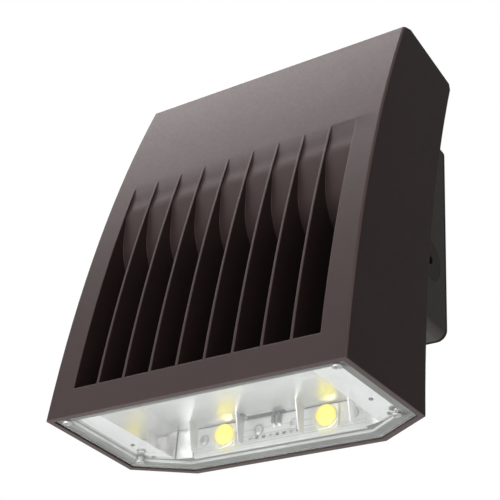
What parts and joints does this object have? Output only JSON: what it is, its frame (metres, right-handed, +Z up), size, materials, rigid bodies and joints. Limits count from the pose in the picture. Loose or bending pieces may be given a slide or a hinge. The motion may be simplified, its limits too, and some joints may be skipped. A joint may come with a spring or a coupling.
{
  "type": "wall pack light",
  "caption": "Outdoor wall light: a hinged, finned cast door with a downward lens and light engine, over a wiring box that fastens to a wall.",
  "frame": {"origin": "middle of the wiring box's screw pattern, on the plane of the wall", "axes": "+Y into the wall, so the light faces -Y; +Z up, with the lens facing -Z; +X to the right of a viewer who looks at the wall"},
  "size_m": [0.146, 0.095, 0.1889],
  "materials": {
    "door_casting": "textured dark bronze powder coat",
    "box_casting": "textured dark bronze powder coat",
    "seal_rubber": "matt black silicone",
    "lens_seal": "light grey silicone",
    "lens_clear": "clear tempered glass",
    "screw_steel": "stainless steel",
    "mirror_sheet": "mirror anodised sheet",
    "board_white": "white solder mask",
    "thermal_grey": "grey thermal pad",
    "led_ceramic": "white ceramic",
    "led_yellow": "yellow phosphor",
    "led_clear": "clear silicone dome",
    "driver_case": "plain aluminium case",
    "bracket_zinc": "zinc plated sheet",
    "lead_jacket": "dark lead insulation",
    "connector_clear": "translucent plastic",
    "grommet_rubber": "black rubber",
    "ground_green": "green plated screw",
    "pin_steel": "plain steel pin",
    "plug_bronze": "dark bronze coat"
  },
  "bodies": {
    "back_box": {"back_box": "box_casting", "wall_gasket": "seal_rubber", "hinge_pin_left": "pin_steel", "hinge_pin_right": "pin_steel", "conduit_plug_left": "plug_bronze", "conduit_plug_right": "plug_bronze", "conduit_plug_bottom": "plug_bronze"},
    "door": {"door_housing": "door_casting", "door_gasket": "seal_rubber", "lens": "lens_clear", "lens_gasket": "lens_seal", "lens_screws": "screw_steel", "reflector": "mirror_sheet", "reflector_end_left": "mirror_sheet", "reflector_end_right": "mirror_sheet", "led_board": "board_white", "thermal_pad": "thermal_grey", "board_screws": "screw_steel", "led_packages": "led_ceramic", "led_phosphors": "led_yellow", "led_domes": "led_clear", "driver_bracket": "bracket_zinc", "driver": "driver_case", "driver_screws": "screw_steel", "light_leads": "lead_jacket", "supply_leads": "lead_jacket", "connectors": "connector_clear", "lead_grommet": "grommet_rubber", "ground_screw": "ground_green"},
    "screw_left": {"captive_screw_left": "screw_steel"},
    "screw_right": {"captive_screw_right": "screw_steel"}
  },
  "joints": [
    {"name": "door_hinge", "type": "hinge", "parent": "back_box", "child": "door", "pos_m": [0, -0.0105, 0.0739], "axis": [-1, 0, 0], "range_deg": [0, 80]},
    {"name": "screw_left_travel", "type": "slide", "parent": "door", "child": "screw_left", "axis": [0, 0, 1], "range_m": [0, 0.006]},
    {"name": "screw_right_travel", "type": "slide", "parent": "door", "child": "screw_right", "axis": [0, 0, 1], "range_m": [0, 0.006]}
  ]
}
